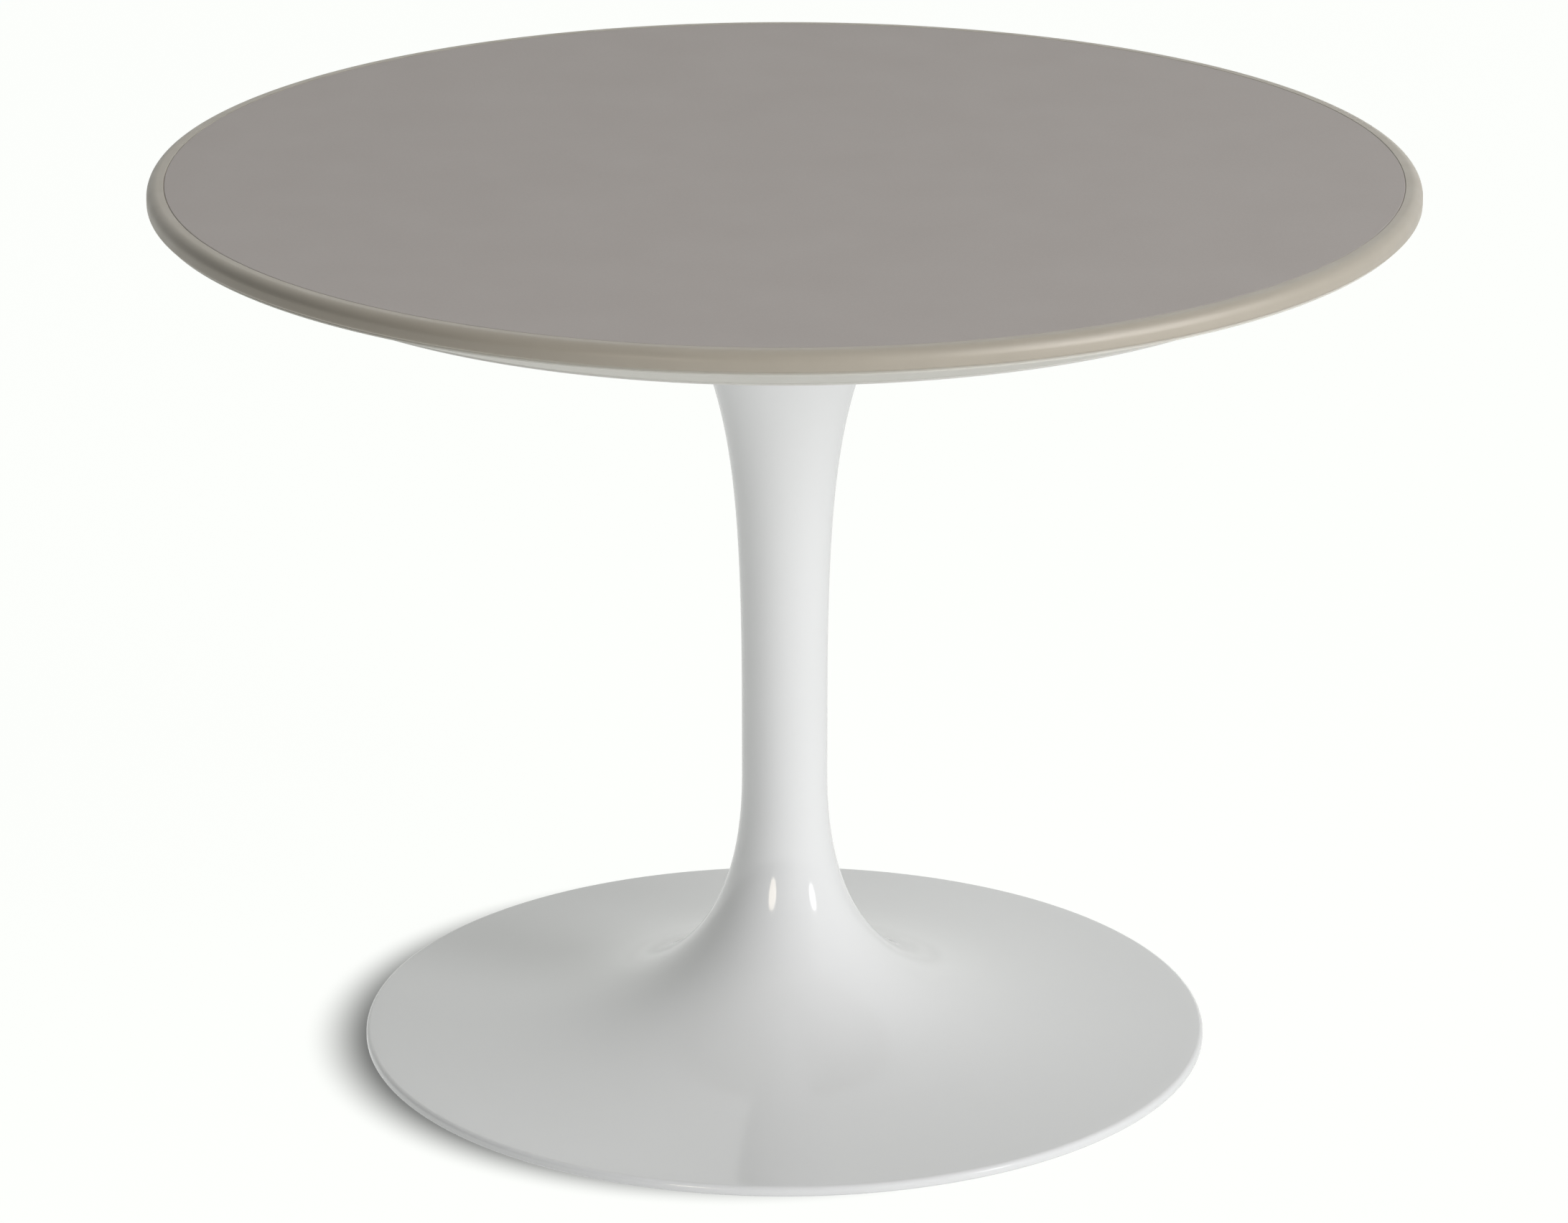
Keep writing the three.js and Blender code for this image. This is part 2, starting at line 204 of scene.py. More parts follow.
def lathe_tree():
    """Turns a profile about the Z axis. The profile lies in the XZ plane, and a point's Y is the
    depth to which a thread is cut there."""
    tree, given = new_tree(
        "lathe", Sides="Int", Profile_Points="Int", Thread_Pitch="Float", Ridge_Sharpness="Float"
    )
    columns = maths(tree, "ADD", given["Sides"], 1.0)
    grid = put(
        tree,
        "GeometryNodeMeshGrid",
        {"Vertices X": columns, "Vertices Y": given["Profile Points"]},
    )
    index = put(tree, "GeometryNodeInputIndex").outputs[0]
    row = maths(tree, "MODULO", index, given["Profile Points"])
    column = maths(tree, "FLOOR", maths(tree, "DIVIDE", index, given["Profile Points"]))
    turns = maths(tree, "DIVIDE", column, given["Sides"])
    angle = maths(tree, "MULTIPLY", turns, math.tau)
    sample = put(
        tree,
        "GeometryNodeSampleIndex",
        {
            "Geometry": given["Geometry"],
            "Value": put(tree, "GeometryNodeInputPosition").outputs[0],
            "Index": row,
        },
        data_type="FLOAT_VECTOR",
    )
    profile = put(tree, "ShaderNodeSeparateXYZ", {0: sample.outputs[0]}).outputs
    lead = maths(tree, "SUBTRACT", maths(tree, "DIVIDE", profile["Z"], given["Thread Pitch"]), turns)
    sway = maths(tree, "MULTIPLY_ADD", maths(tree, "FRACT", lead), 2.0, -1.0)
    ridge = maths(tree, "POWER", maths(tree, "ABSOLUTE", sway), given["Ridge Sharpness"])
    cut = maths(tree, "MULTIPLY", profile["Y"], maths(tree, "SUBTRACT", 1.0, ridge))
    radius = maths(tree, "SUBTRACT", profile["X"], cut)
    place = put(
        tree,
        "ShaderNodeCombineXYZ",
        {
            "X": maths(tree, "MULTIPLY", radius, maths(tree, "COSINE", angle)),
            "Y": maths(tree, "MULTIPLY", radius, maths(tree, "SINE", angle)),
            "Z": profile["Z"],
        },
    )
    turned = put(
        tree,
        "GeometryNodeSetPosition",
        {"Geometry": grid.outputs["Mesh"], "Position": place.outputs[0]},
    )
    closed = put(
        tree,
        "GeometryNodeMergeByDistance",
        {"Geometry": turned.outputs[0], "Distance": MERGE_DISTANCE},
    )
    end_tree(tree, closed.outputs[0], given)
    return tree


def run_tree(name, mesh, tree, finish, crisp, **inputs):
    """Runs a tree over a mesh and keeps what comes out as a plain mesh piece."""
    raw = bpy.data.objects.new(name + "_raw", mesh)
    bpy.context.scene.collection.objects.link(raw)
    modifier = raw.modifiers.new("tree", "NODES")
    modifier.node_group = tree
    sockets = {s.name: s.identifier for s in tree.interface.items_tree if s.in_out == "INPUT"}
    modifier[sockets["Finish"]] = finish
    modifier[sockets["Crisp Angle"]] = math.radians(crisp)
    for label, value in inputs.items():
        modifier[sockets[label.replace("_", " ")]] = value
    evaluated = raw.evaluated_get(bpy.context.evaluated_depsgraph_get())
    made = bpy.data.meshes.new_from_object(evaluated)
    bpy.data.objects.remove(raw)
    piece = bpy.data.objects.new(name, made)
    made.name = name
    bpy.context.scene.collection.objects.link(piece)
    made.materials.clear()
    made.materials.append(finish)
    return piece


lathe = lathe_tree()


def turned_piece(name, profile, finish, sides=256, crisp=32.0, pitch=1.0, sharpness=1.0):
    """Turns a profile of (radius, height) points, walked with the material on its left; a third
    number is the depth of a thread there. One that starts off the axis is closed on itself."""
    if profile[0][0] > 0.0:
        profile = profile + profile[:1]
    points = [(p[0], p[2] if len(p) > 2 else 0.0, p[1]) for p in profile]
    mesh = bpy.data.meshes.new(name + "_profile")
    mesh.from_pydata(points, [], [])
    return run_tree(
        name,
        mesh,
        lathe,
        finish,
        crisp,
        Sides=sides,
        Profile_Points=len(points),
        Thread_Pitch=pitch,
        Ridge_Sharpness=sharpness,
    )


def hand_over(piece, slot, *nodes):
    """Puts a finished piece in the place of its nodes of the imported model."""
    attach(piece, "root")
    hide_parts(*nodes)


def quarter(centre, radius, start, end, steps=8):
    """Points of an arc between two angles, in degrees."""
    points = []
    for i in range(steps + 1):
        angle = math.radians(start + (end - start) * i / steps)
        points.append((centre[0] + radius * math.cos(angle), centre[1] + radius * math.sin(angle)))
    return points


def sweep(start, pull, push, end, steps, depth=0.0, first=0.0, last=1.0):
    """Points of a cubic curve, or of the surface `depth` behind it, between two parameters."""
    points = []
    for i in range(steps + 1):
        t = first + (last - first) * i / steps
        u = 1.0 - t
        weights = (u**3, 3 * u * u * t, 3 * u * t * t, t**3)
        slopes = (-3 * u * u, 3 * u * u - 6 * u * t, 6 * u * t - 3 * t * t, 3 * t * t)
        corners = (start, pull, push, end)
        r, z = (sum(w * c[k] for w, c in zip(weights, corners)) for k in (0, 1))
        dr, dz = (sum(s * c[k] for s, c in zip(slopes, corners)) for k in (0, 1))
        length = math.hypot(dr, dz)
        points.append((r - dz / length * depth, z + dr / length * depth))
    return points


casting_low, casting_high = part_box("pedestal")
base_radius = casting_high.x
casting_foot = casting_low.z
head_top = casting_high.z
head_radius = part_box("stem_gasket")[1].x + GASKET_INSET
glide_low, glide_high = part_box("glide_ring")
groove_outer = glide_high.x + CLOSE_FIT
groove_inner = glide_high.x - GLIDE_WIDTH - CLOSE_FIT
groove_top = glide_high.z + CLOSE_FIT

flare_curve = (
    (base_radius - RIM_ROUND, RIM_TOP),
    (base_radius - RIM_ROUND - FLARE_PULL, RIM_TOP),
    (WAIST_RADIUS, WAIST_LOW - FLARE_DROP),
    (WAIST_RADIUS, WAIST_LOW),
)
neck_curve = (
    (WAIST_RADIUS, WAIST_HIGH),
    (WAIST_RADIUS, WAIST_HIGH + NECK_RISE),
    (
        head_radius - NECK_PULL * math.sin(HEAD_LEAN),
        head_top - NECK_PULL * math.cos(HEAD_LEAN),
    ),
    (head_radius, head_top),
)
head_wall = CASTING_WALL / math.cos(HEAD_LEAN)
inside_of_flare = sweep(*flare_curve, 60, depth=CASTING_WALL)

casting_profile = (
    [(groove_outer, casting_foot)]
    + quarter((base_radius - FOOT_ROUND, casting_foot + FOOT_ROUND), FOOT_ROUND, -90, 0, 4)
    + quarter((base_radius - RIM_ROUND, RIM_TOP - RIM_ROUND), RIM_ROUND, 0, 82, 8)
    + sweep(*flare_curve, 64)
    + sweep(*neck_curve, 44)
    + [(head_radius - head_wall, head_top)]
    + sweep(*neck_curve, 20, depth=CASTING_WALL, last=0.97)[::-1]
    + [p for p in inside_of_flare if p[0] < RECESS_RADIUS][::-2]
    + [
        (RECESS_RADIUS, casting_foot + RECESS_DEPTH),
        (RECESS_RADIUS, casting_foot),
        (groove_inner, casting_foot),
        (groove_inner, groove_top),
        (groove_outer, groove_top),
    ]
)
white_lacquer = gloss_lacquer()
casting = turned_piece("trumpet_casting", casting_profile, white_lacquer)
hand_over(casting, "white_lacquer", "pedestal")

# ---------------------------------------------------------------- glide ring
# A nylon bead pressed into a groove under the base. It carries the table just clear of the floor,
# so that the lacquered rim never touches it.

GLIDE_ROUND = 0.0005


def worn_nylon():
    material, tree, shader = new_finish("worn_nylon", IOR=1.53)
    vary_colour(tree, shader, mottle(tree, 120.0, 3.0), (0.20, 0.20, 0.195, 1.0), 0.12)
    vary_roughness(tree, shader, mottle(tree, 400.0), 0.38, 0.6)
    emboss(tree, shader, [(mottle(tree, 900.0), 0.00003)])
    return material


glide_inner = glide_high.x - GLIDE_WIDTH
glide_profile = (
    quarter((glide_inner + GLIDE_ROUND, glide_low.z + GLIDE_ROUND), GLIDE_ROUND, 180, 270, 4)
    + quarter((glide_high.x - GLIDE_ROUND, glide_low.z + GLIDE_ROUND), GLIDE_ROUND, 270, 360, 4)
    + [(glide_high.x, glide_high.z), (glide_inner, glide_high.z)]
)
glide = turned_piece("glide_bead", glide_profile, worn_nylon())
hand_over(glide, "nylon", "glide_ring")

# ---------------------------------------------------------------- board
# Fibreboard, rebated at the edge for the rim and bevelled below so that the top looks thin. The
# bevel is sprayed pale grey.

BEVEL_ROUND = 0.0005
BEVEL_TOP = 0.011
BEVEL_BREAK = 0.0001
REBATE_LEAN = 0.0006
REBATE_FOOT = 0.0005
BACKING_INSET = 0.0003


def satin_board_lacquer():
    material, tree, shader = new_finish("pale_board_lacquer", IOR=1.5)
    vary_colour(tree, shader, mottle(tree, 40.0, 3.0), (0.64, 0.622, 0.571, 1.0), 0.02)
    vary_roughness(tree, shader, mottle(tree, 160.0), 0.45, 0.55)
    emboss(tree, shader, [(mottle(tree, 500.0), 0.00002)])
    return material


board_low, board_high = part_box("top_core")
band_low, band_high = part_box("edge_band")
sheet_low, sheet_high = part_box("top_laminate")
backing_low, backing_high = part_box("backing_sheet")
underside_radius = backing_high.x + BACKING_INSET
bevel_start = band_high.z - BEVEL_TOP
rebate_height = band_low.z - CLOSE_FIT
bevel_angle = math.atan2(bevel_start - board_low.z, board_high.x - underside_radius)
board_profile = [
    (0.0, board_low.z),
    (underside_radius - BEVEL_ROUND, board_low.z),
    (
        underside_radius + BEVEL_ROUND * math.cos(bevel_angle),
        board_low.z + BEVEL_ROUND * math.sin(bevel_angle),
    ),
    (
        board_high.x - BEVEL_ROUND * math.cos(bevel_angle),
        bevel_start - BEVEL_ROUND * math.sin(bevel_angle),
    ),
    (board_high.x - BEVEL_BREAK, bevel_start - BEVEL_BREAK),
    (board_high.x, bevel_start + REBATE_FOOT),
    (board_high.x - REBATE_LEAN, rebate_height),
    (sheet_high.x, rebate_height),
    (sheet_high.x, board_high.z),
    (0.0, board_high.z),
]


def circle_of(tree, given):
    """Copies of the tool, upright on a circle, each turned to face outwards."""
    index = put(tree, "GeometryNodeInputIndex").outputs[0]
    step = maths(tree, "DIVIDE", math.tau, given["Count"])
    angle = maths(tree, "MULTIPLY", maths(tree, "ADD", index, given["First Step"]), step)
    place = put(
        tree,
        "ShaderNodeCombineXYZ",
        {
            "X": maths(tree, "MULTIPLY", given["Circle Radius"], maths(tree, "COSINE", angle)),
            "Y": maths(tree, "MULTIPLY", given["Circle Radius"], maths(tree, "SINE", angle)),
        },
    )
    points = put(tree, "GeometryNodePoints", {"Count": given["Count"], "Position": place.outputs[0]})
    turn = put(tree, "ShaderNodeCombineXYZ", {"Z": angle})
    facing = put(tree, "FunctionNodeEulerToRotation", {0: turn.outputs[0]})
    tool = put(tree, "GeometryNodeObjectInfo", {"Object": given["Tool"]})
    copies = put(
        tree,
        "GeometryNodeInstanceOnPoints",
        {
            "Points": points.outputs[0],
            "Instance": tool.outputs["Geometry"],
            "Rotation": facing.outputs[0],
        },
    )
    return put(tree, "GeometryNodeRealizeInstances", {"Geometry": copies.outputs[0]}).outputs[0]


CIRCLE_INPUTS = {
    "Tool": "Object",
    "Count": "Int",
    "Circle_Radius": "Float",
    "First_Step": "Float",
}


def drill_tree():
    """Cuts a tool out of a piece, at every place on a circle."""
    tree, given = new_tree("drill", **CIRCLE_INPUTS)
    drilled = put(
        tree,
        "GeometryNodeMeshBoolean",
        {"Mesh 1": given["Geometry"], "Mesh 2": circle_of(tree, given)},
        operation="DIFFERENCE",
        solver="MANIFOLD",
    )
    end_tree(tree, drilled.outputs[0], given)
    return tree


drill = drill_tree()


def drilled(piece, tool, count=1, radius=0.0, first=0.5, crisp=32.0):
    """The piece with the tool cut out of it on a circle, the first cut `first` steps from +X."""
    name = piece.name
    mesh = piece.data
    finish = mesh.materials[0]
    bpy.data.objects.remove(piece)
    cut = run_tree(
        name,
        mesh,
        drill,
        finish,
        crisp,
        Tool=tool,
        Count=count,
        Circle_Radius=radius,
        First_Step=first,
    )
    bpy.data.objects.remove(tool)
    return cut


HEAD_EDGE = 0.0004
OVERCUT = 0.002


def countersink(head, shank, bottom, top):
    """A tool for a countersunk hole whose wide end is down."""
    profile = [
        (0.0, bottom - OVERCUT),
        (head, bottom - OVERCUT),
        (head, bottom + HEAD_EDGE),
        (shank, bottom + HEAD_EDGE + head - shank),
        (shank, top),
        (0.0, top),
    ]
    return turned_piece("hole", profile, lacquered_board, sides=48)


PLATE_SCREWS = 6
PLATE_SCREW_HEAD = 0.0048
PLATE_SCREW_SHANK = 0.0023
HOLE_PLAY = 0.0003
POCKET_PLAY_ROUND = 0.002
POCKET_PLAY_END = 0.003
plate_low, plate_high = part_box("mounting_plate")
rod_low, rod_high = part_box("tie_rod")
screw_low, screw_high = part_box("plate_screw_1")
screw_middle = (screw_low + screw_high) / 2
plate_circle = math.hypot(screw_middle.x, screw_middle.y)


def plate_screw_hole():
    return countersink(
        PLATE_SCREW_HEAD + HOLE_PLAY,
        PLATE_SCREW_SHANK + HOLE_PLAY,
        screw_low.z,
        screw_high.z + HOLE_PLAY,
    )


def rod_pocket():
    """A flat-bottomed hole for the end of the tie rod."""
    width = rod_high.x + POCKET_PLAY_ROUND
    depth = rod_high.z + POCKET_PLAY_END
    start = plate_high.z - OVERCUT
    return turned_piece(
        "hole", [(0.0, start), (width, start), (width, depth), (0.0, depth)], lacquered_board, 48
    )


lacquered_board = satin_board_lacquer()
board = turned_piece("bevelled_board", board_profile, lacquered_board)
board = drilled(board, plate_screw_hole(), PLATE_SCREWS, plate_circle)
board = drilled(board, rod_pocket())
hand_over(board, "board_lacquer", "top_core")

# ---------------------------------------------------------------- backing sheet
# A plain pale laminate under the board. It balances the face sheet, so that the top stays flat,
# and it is drilled through with the board.

SHEET_BREAK = 0.0004


def plain_backing():
    material, tree, shader = new_finish("plain_backing_laminate", IOR=1.45)
    vary_colour(tree, shader, mottle(tree, 700.0, 4.0), (0.66, 0.65, 0.62, 1.0), 0.04)
    vary_roughness(tree, shader, mottle(tree, 30.0, 3.0), 0.5, 0.6)
    emboss(tree, shader, [(mottle(tree, 1200.0, 2.0), 0.00003)])
    return material


backing_profile = [
    (0.0, backing_low.z),
    (backing_high.x - SHEET_BREAK, backing_low.z),
    (backing_high.x, backing_low.z + SHEET_BREAK),
    (backing_high.x, backing_high.z),
    (0.0, backing_high.z),
]
backing = turned_piece("backing_laminate", backing_profile, plain_backing())
backing = drilled(backing, plate_screw_hole(), PLATE_SCREWS, plate_circle)
backing = drilled(backing, rod_pocket())
hand_over(backing, "backing_laminate", "backing_sheet")

# ---------------------------------------------------------------- moulded rim
# A solid plastic edging turned round the board: a large round above and a small one below, with
# a satin face. It is a warmer shade of the face sheet's taupe.

RIM_PLASTIC = (0.405, 0.365, 0.304, 1.0)
RIM_UPPER_ROUND = 0.0052
RIM_FOOT_ROUND = 0.0014
JOINT_BREAK = 0.0003


def satin_rim():
    material, tree, shader = new_finish("satin_rim_plastic", IOR=1.5)
    vary_colour(tree, shader, mottle(tree, 60.0, 3.0), RIM_PLASTIC, 0.03)
    vary_roughness(tree, shader, mottle(tree, 90.0, 3.0), 0.34, 0.42)
    lines = mottle(tree, 60.0, 2.0, squeeze=(0.4, 0.4, 18.0))
    emboss(tree, shader, [(lines, 0.00003), (mottle(tree, 1400.0), 0.000006)])
    return material


rim_bore = sheet_high.x + CLOSE_FIT
rim_profile = (
    [(rim_bore, band_low.z)]
    + quarter(
        (band_high.x - RIM_FOOT_ROUND, band_low.z + RIM_FOOT_ROUND), RIM_FOOT_ROUND, -90, 0, 6
    )
    + quarter(
        (band_high.x - RIM_UPPER_ROUND, band_high.z - RIM_UPPER_ROUND), RIM_UPPER_ROUND, 0, 90, 16
    )
    + [(rim_bore + JOINT_BREAK, band_high.z), (rim_bore, band_high.z - JOINT_BREAK)]
)
rim = turned_piece("moulded_rim", rim_profile, satin_rim(), sides=360, crisp=40.0)
hand_over(rim, "rim_plastic", "edge_band")

# ---------------------------------------------------------------- face sheet
# High-pressure laminate, one millimetre thick, pressed on the board and let in flush inside the
# rim. It is matt taupe, with a texture too fine to feel.

TAUPE = (0.524, 0.477, 0.453, 1.0)


def matt_laminate():
    material, tree, shader = new_finish("matt_taupe_laminate", IOR=1.45)
    speckle = mottle(tree, 1100.0, 4.0)
    vary_colour(tree, shader, speckle, TAUPE, 0.05)
    vary_roughness(tree, shader, mottle(tree, 25.0, 3.0), 0.58, 0.64)
    emboss(tree, shader, [(mottle(tree, 1500.0, 3.0), 0.00004)])
    return material


face_profile = [
    (0.0, sheet_low.z),
    (sheet_high.x, sheet_low.z),
    (sheet_high.x, sheet_high.z - JOINT_BREAK),
    (sheet_high.x - JOINT_BREAK, sheet_high.z),
    (0.0, sheet_high.z),
]
face = turned_piece("face_sheet", face_profile, matt_laminate())
hand_over(face, "face_laminate", "top_laminate")

# ---------------------------------------------------------------- mounting plate
# A steel disc screwed flat under the board, through six countersunk holes. It is powder coated
# off-white, because its edge shows round the head of the stem.

PLATE_ROUND = 0.0014
PLATE_BREAK = 0.0003


def off_white_powder():
    material, tree, shader = new_finish("off_white_powder_coat", IOR=1.5)
    vary_colour(tree, shader, mottle(tree, 80.0, 3.0), (0.62, 0.615, 0.60, 1.0), 0.015)
    vary_roughness(tree, shader, mottle(tree, 300.0, 2.0), 0.4, 0.5)
    emboss(tree, shader, [(mottle(tree, 650.0, 1.0), 0.00005)])
    return material


def flat_ring(low, high, bore, lower_round, upper_round, inner_break=PLATE_BREAK):
    """The profile of a plate between two heights, with rounds on its rim and a chamfered bore."""
    return (
        [(bore + inner_break, low.z)]
        + quarter((high.x - lower_round, low.z + lower_round), lower_round, -90, 0, 6)
        + quarter((high.x - upper_round, high.z - upper_round), upper_round, 0, 90, 4)
        + [(bore + inner_break, high.z), (bore, high.z - inner_break), (bore, low.z + inner_break)]
    )


rod_bore = rod_high.x + HOLE_PLAY
plate_profile = flat_ring(plate_low, plate_high, rod_bore, PLATE_ROUND, PLATE_BREAK)
plate = turned_piece("mounting_disc", plate_profile, off_white_powder())
plate = drilled(plate, plate_screw_hole(), PLATE_SCREWS, plate_circle)
hand_over(plate, "white_powder", "mounting_plate")

# ---------------------------------------------------------------- rod boss
# A thick steel collar, tapped for the tie rod and welded up inside the head of the stem to the
# middle of the mounting plate. The weld runs all round it as a hollow fillet.

WELD = 0.003
BOSS_BREAK = 0.0015
THREAD_LEAD = 0.001


def zinc_plate():
    """Bright zinc on turned steel: fine marks round the piece, and a faint blue cast."""
    material, tree, shader = new_finish("bright_zinc_plate", Metallic=1.0)
    vary_colour(tree, shader, mottle(tree, 90.0, 2.0), (0.58, 0.60, 0.61, 1.0), 0.06)
    vary_roughness(tree, shader, mottle(tree, 260.0, 3.0), 0.24, 0.4)
    turning = mottle(tree, 120.0, 3.0, squeeze=(1.0, 1.0, 22.0))
    emboss(tree, shader, [(turning, 0.00001), (mottle(tree, 900.0), 0.000008)])
    return material


zinc = zinc_plate()
boss_low, boss_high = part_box("rod_boss")
boss_profile = (
    [(rod_bore + THREAD_LEAD, boss_low.z), (boss_high.x - BOSS_BREAK, boss_low.z)]
    + [(boss_high.x, boss_low.z + BOSS_BREAK), (boss_high.x, boss_high.z - WELD)]
    + quarter((boss_high.x + WELD, boss_high.z - WELD), WELD, 180, 90, 8)[1:]
    + [(rod_bore, boss_high.z), (rod_bore, boss_low.z + THREAD_LEAD)]
)
boss = turned_piece("welded_boss", boss_profile, zinc, sides=96)
hand_over(boss, "zinc_steel", "rod_boss")

# ---------------------------------------------------------------- plate screws
# Six countersunk wood screws with hexagon sockets hold the plate under the board. They have a
# coarse, sharp thread and a gimlet point.

PLATE_SCREW_PITCH = 0.0025
PLATE_SCREW_RIDGE = 0.0008
PLATE_SCREW_TIP = 0.003
PLATE_SCREW_NECK = 0.0045
PLATE_SCREW_SOCKET = 0.003
PLATE_SOCKET_DEPTH = 0.0018
GIMLET_RADIUS = 0.0003
GIMLET_LENGTH = 0.0004


def bolt_ring_tree():
    """Stands copies of a fastener on a circle."""
    tree, given = new_tree("bolt_ring", **CIRCLE_INPUTS)
    end_tree(tree, circle_of(tree, given), given)
    return tree


bolt_ring = bolt_ring_tree()


def ring_of(name, fastener, count, radius, first=0.5):
    """One piece made of `count` copies of a fastener on a circle."""
    seed = bpy.data.meshes.new(name + "_seed")
    finish = fastener.data.materials[0]
    made = run_tree(
        name,
        seed,
        bolt_ring,
        finish,
        32.0,
        Tool=fastener,
        Count=count,
        Circle_Radius=radius,
        First_Step=first,
    )
    bpy.data.objects.remove(fastener)
    return made


def threaded(radius, low, high, pitch, depth, steps=8):
    """Profile points up a thread; the cut fades in and out over its first and last turn."""
    count = round((high - low) / pitch * steps)
    points = []
    for i in range(count + 1):
        fade = min(1.0, i / steps, (count - i) / steps)
        points.append((radius, low + (high - low) * i / count, depth * fade))
    return points


def hexagon_socket(flats, face, depth):
    """A tool for a hexagon socket, cut up into the face of a screw's head."""
    corner = flats / math.sqrt(3.0)
    low = face - OVERCUT
    high = face + depth
    outline = [(0.0, low), (corner, low), (corner, high), (0.0, high)]
    return turned_piece("hexagon", outline, zinc, sides=6)


def countersunk_head(head, shank, face):
    """Profile points of a screw's head, from the middle of its face to its shank."""
    return [(0.0, face), (head, face), (head, face + HEAD_EDGE), (shank, face + HEAD_EDGE + head - shank)]


plate_screw_profile = (
    countersunk_head(PLATE_SCREW_HEAD, PLATE_SCREW_SHANK, screw_low.z)
    + threaded(
        PLATE_SCREW_SHANK,
        screw_low.z + PLATE_SCREW_NECK,
        screw_high.z - PLATE_SCREW_TIP,
        PLATE_SCREW_PITCH,
        PLATE_SCREW_RIDGE,
        10,
    )
    + [(GIMLET_RADIUS, screw_high.z - GIMLET_LENGTH), (0.0, screw_high.z)]
)
plate_screw = turned_piece(
    "wood_screw", plate_screw_profile, zinc, sides=24, pitch=PLATE_SCREW_PITCH, sharpness=2.5
)
plate_socket = hexagon_socket(PLATE_SCREW_SOCKET, screw_low.z, PLATE_SOCKET_DEPTH)
plate_screw = drilled(plate_screw, plate_socket)
plate_screws = ring_of("plate_screw_set", plate_screw, PLATE_SCREWS, plate_circle)
hand_over(plate_screws, "zinc_steel", *[f"plate_screw_{i + 1}" for i in range(PLATE_SCREWS)])

# ---------------------------------------------------------------- tie rod
# A long steel rod down the middle of the stem, threaded at both ends. It screws into the boss and
# draws the whole table together.

ROD_PITCH = 0.0015
ROD_THREAD = 0.0009
ROD_BLANK = 0.0045
LOWER_THREAD = 0.030
UPPER_THREAD = 0.036
THREAD_RUNOUT = 0.001

rod_radius = rod_high.x
rod_profile = (
    [(0.0, rod_low.z), (rod_radius - ROD_THREAD, rod_low.z)]
    + threaded(
        rod_radius, rod_low.z + THREAD_RUNOUT, rod_low.z + LOWER_THREAD, ROD_PITCH, ROD_THREAD
    )
    + [(ROD_BLANK, rod_low.z + LOWER_THREAD + THREAD_RUNOUT)]
    + [(ROD_BLANK, rod_high.z - UPPER_THREAD - THREAD_RUNOUT)]
    + threaded(
        rod_radius, rod_high.z - UPPER_THREAD, rod_high.z - THREAD_RUNOUT, ROD_PITCH, ROD_THREAD
    )
    + [(rod_radius - ROD_THREAD, rod_high.z), (0.0, rod_high.z)]
)
rod = turned_piece("threaded_tie_rod", rod_profile, zinc, sides=32, pitch=ROD_PITCH)
hand_over(rod, "zinc_steel", "tie_rod")

# ---------------------------------------------------------------- stem gasket
# A flat ring of black rubber between the plate and the head of the stem. It keeps the lacquer
# from chipping, and it swells a little where it is squeezed.


def matt_rubber():
    material, tree, shader = new_finish("matt_black_rubber", IOR=1.5)
    vary_colour(tree, shader, mottle(tree, 200.0, 3.0), (0.016, 0.016, 0.017, 1.0), 0.2)
    vary_roughness(tree, shader, mottle(tree, 500.0, 3.0), 0.7, 0.85)
    emboss(tree, shader, [(mottle(tree, 1100.0, 3.0), 0.00004)])
    return material


gasket_low, gasket_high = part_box("stem_gasket")
gasket_inner = head_radius - CASTING_WALL
squeeze = (gasket_high.z - gasket_low.z) / 2
gasket_middle = (gasket_high.z + gasket_low.z) / 2
gasket_profile = quarter((gasket_high.x - squeeze, gasket_middle), squeeze, -90, 90, 12) + quarter(
    (gasket_inner + squeeze, gasket_middle), squeeze, 90, 270, 12
)
gasket = turned_piece("rubber_gasket", gasket_profile, matt_rubber(), crisp=60.0)
hand_over(gasket, "black_rubber", "stem_gasket")

# ---------------------------------------------------------------- ballast ring
# A cast-iron weight that fills the hollow of the flare and keeps the table from tipping. It comes
# rough from the sand, and is dipped in dark grey primer.

BALLAST_SEAT = CASTING_WALL + 0.0003
BALLAST_BORE = 0.024
BALLAST_BREAK = 0.0015
BALLAST_CORNER = 0.0005
COVER_SCREWS = 4
COVER_SCREW_HEAD = 0.0036
COVER_SCREW_SHANK = 0.0019


def primed_cast_iron():
    material, tree, shader = new_finish("primed_cast_iron", IOR=1.5, Metallic=0.2)
    vary_colour(tree, shader, mottle(tree, 60.0, 4.0), (0.075, 0.076, 0.078, 1.0), 0.25)
    vary_roughness(tree, shader, mottle(tree, 180.0, 3.0), 0.55, 0.8)
    emboss(tree, shader, [(mottle(tree, 70.0, 2.0), 0.0004), (mottle(tree, 600.0, 4.0), 0.00025)])
    return material


